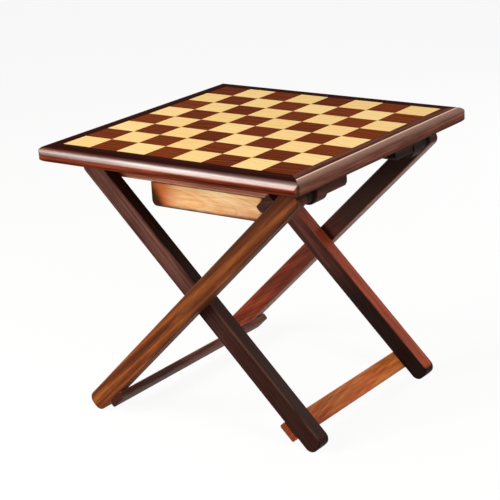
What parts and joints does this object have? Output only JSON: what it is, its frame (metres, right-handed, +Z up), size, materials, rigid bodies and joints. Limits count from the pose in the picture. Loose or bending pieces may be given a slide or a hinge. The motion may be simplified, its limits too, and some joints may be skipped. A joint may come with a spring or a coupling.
{
  "type": "folding chess table",
  "caption": "Square folding table with an inlaid chequered board, bullnose rim, crossed leg frames that fold under the top, and a drawer for the pieces.",
  "frame": {"origin": "on the floor under the middle of the top, below the crossing of the legs", "axes": "+Z up, +X along the near edge to the right, -Y towards the near player"},
  "size_m": [0.457, 0.457, 0.4199],
  "materials": {
    "light_inlay": "gloss lacquer",
    "dark_inlay": "gloss lacquer",
    "rim_rosewood": "gloss lacquer",
    "leg_rosewood": "satin lacquer",
    "drawer_front_wood": "satin lacquer",
    "drawer_box_wood": "plain",
    "panel_wood": "plain",
    "steel": "plain"
  },
  "bodies": {
    "outer_frame": {"crossing_washer_far": "steel", "crossing_washer_near": "steel", "hinge_washer_far": "steel", "hinge_washer_near": "steel", "outer_leg_far": "leg_rosewood", "outer_leg_near": "leg_rosewood", "outer_stretcher": "leg_rosewood", "outer_upper_rail": "leg_rosewood"},
    "inner_frame": {"crossing_pin_far": "steel", "crossing_pin_near": "steel", "inner_leg_far": "leg_rosewood", "inner_leg_near": "leg_rosewood", "inner_stretcher": "leg_rosewood", "inner_top_rod": "leg_rosewood"},
    "top": {"apron_far": "leg_rosewood", "apron_near": "leg_rosewood", "base_panel": "panel_wood", "case_back": "drawer_box_wood", "case_bottom": "drawer_box_wood", "case_left_side": "drawer_box_wood", "case_right_side": "drawer_box_wood", "dark_squares": "dark_inlay", "hinge_cleat_far": "leg_rosewood", "hinge_cleat_near": "leg_rosewood", "hinge_pin_far": "steel", "hinge_pin_near": "steel", "light_squares": "light_inlay", "rim_far": "rim_rosewood", "rim_left": "rim_rosewood", "rim_near": "rim_rosewood", "rim_right": "rim_rosewood", "seat_cleat_far": "leg_rosewood", "seat_cleat_near": "leg_rosewood"},
    "drawer": {"drawer_back": "drawer_box_wood", "drawer_bottom": "drawer_box_wood", "drawer_front": "drawer_front_wood", "drawer_left_side": "drawer_box_wood", "drawer_right_side": "drawer_box_wood"}
  },
  "joints": [
    {"name": "leg_fold", "type": "hinge", "parent": "outer_frame", "child": "inner_frame", "pos_m": [0, 0, 0.1971], "axis": [0, -1, 0], "range_deg": [0, 80]},
    {"name": "top_fold", "type": "hinge", "parent": "outer_frame", "child": "top", "pos_m": [0.184, 0, 0.37795], "axis": [0, -1, 0], "range_deg": [0, 40]},
    {"name": "drawer_slide", "type": "slide", "parent": "top", "child": "drawer", "axis": [0, -1, 0], "range_m": [0, 0.27]}
  ],
  "couplings": [
    {"joint": "top_fold", "follows": "leg_fold", "ratio": 0.5}
  ]
}
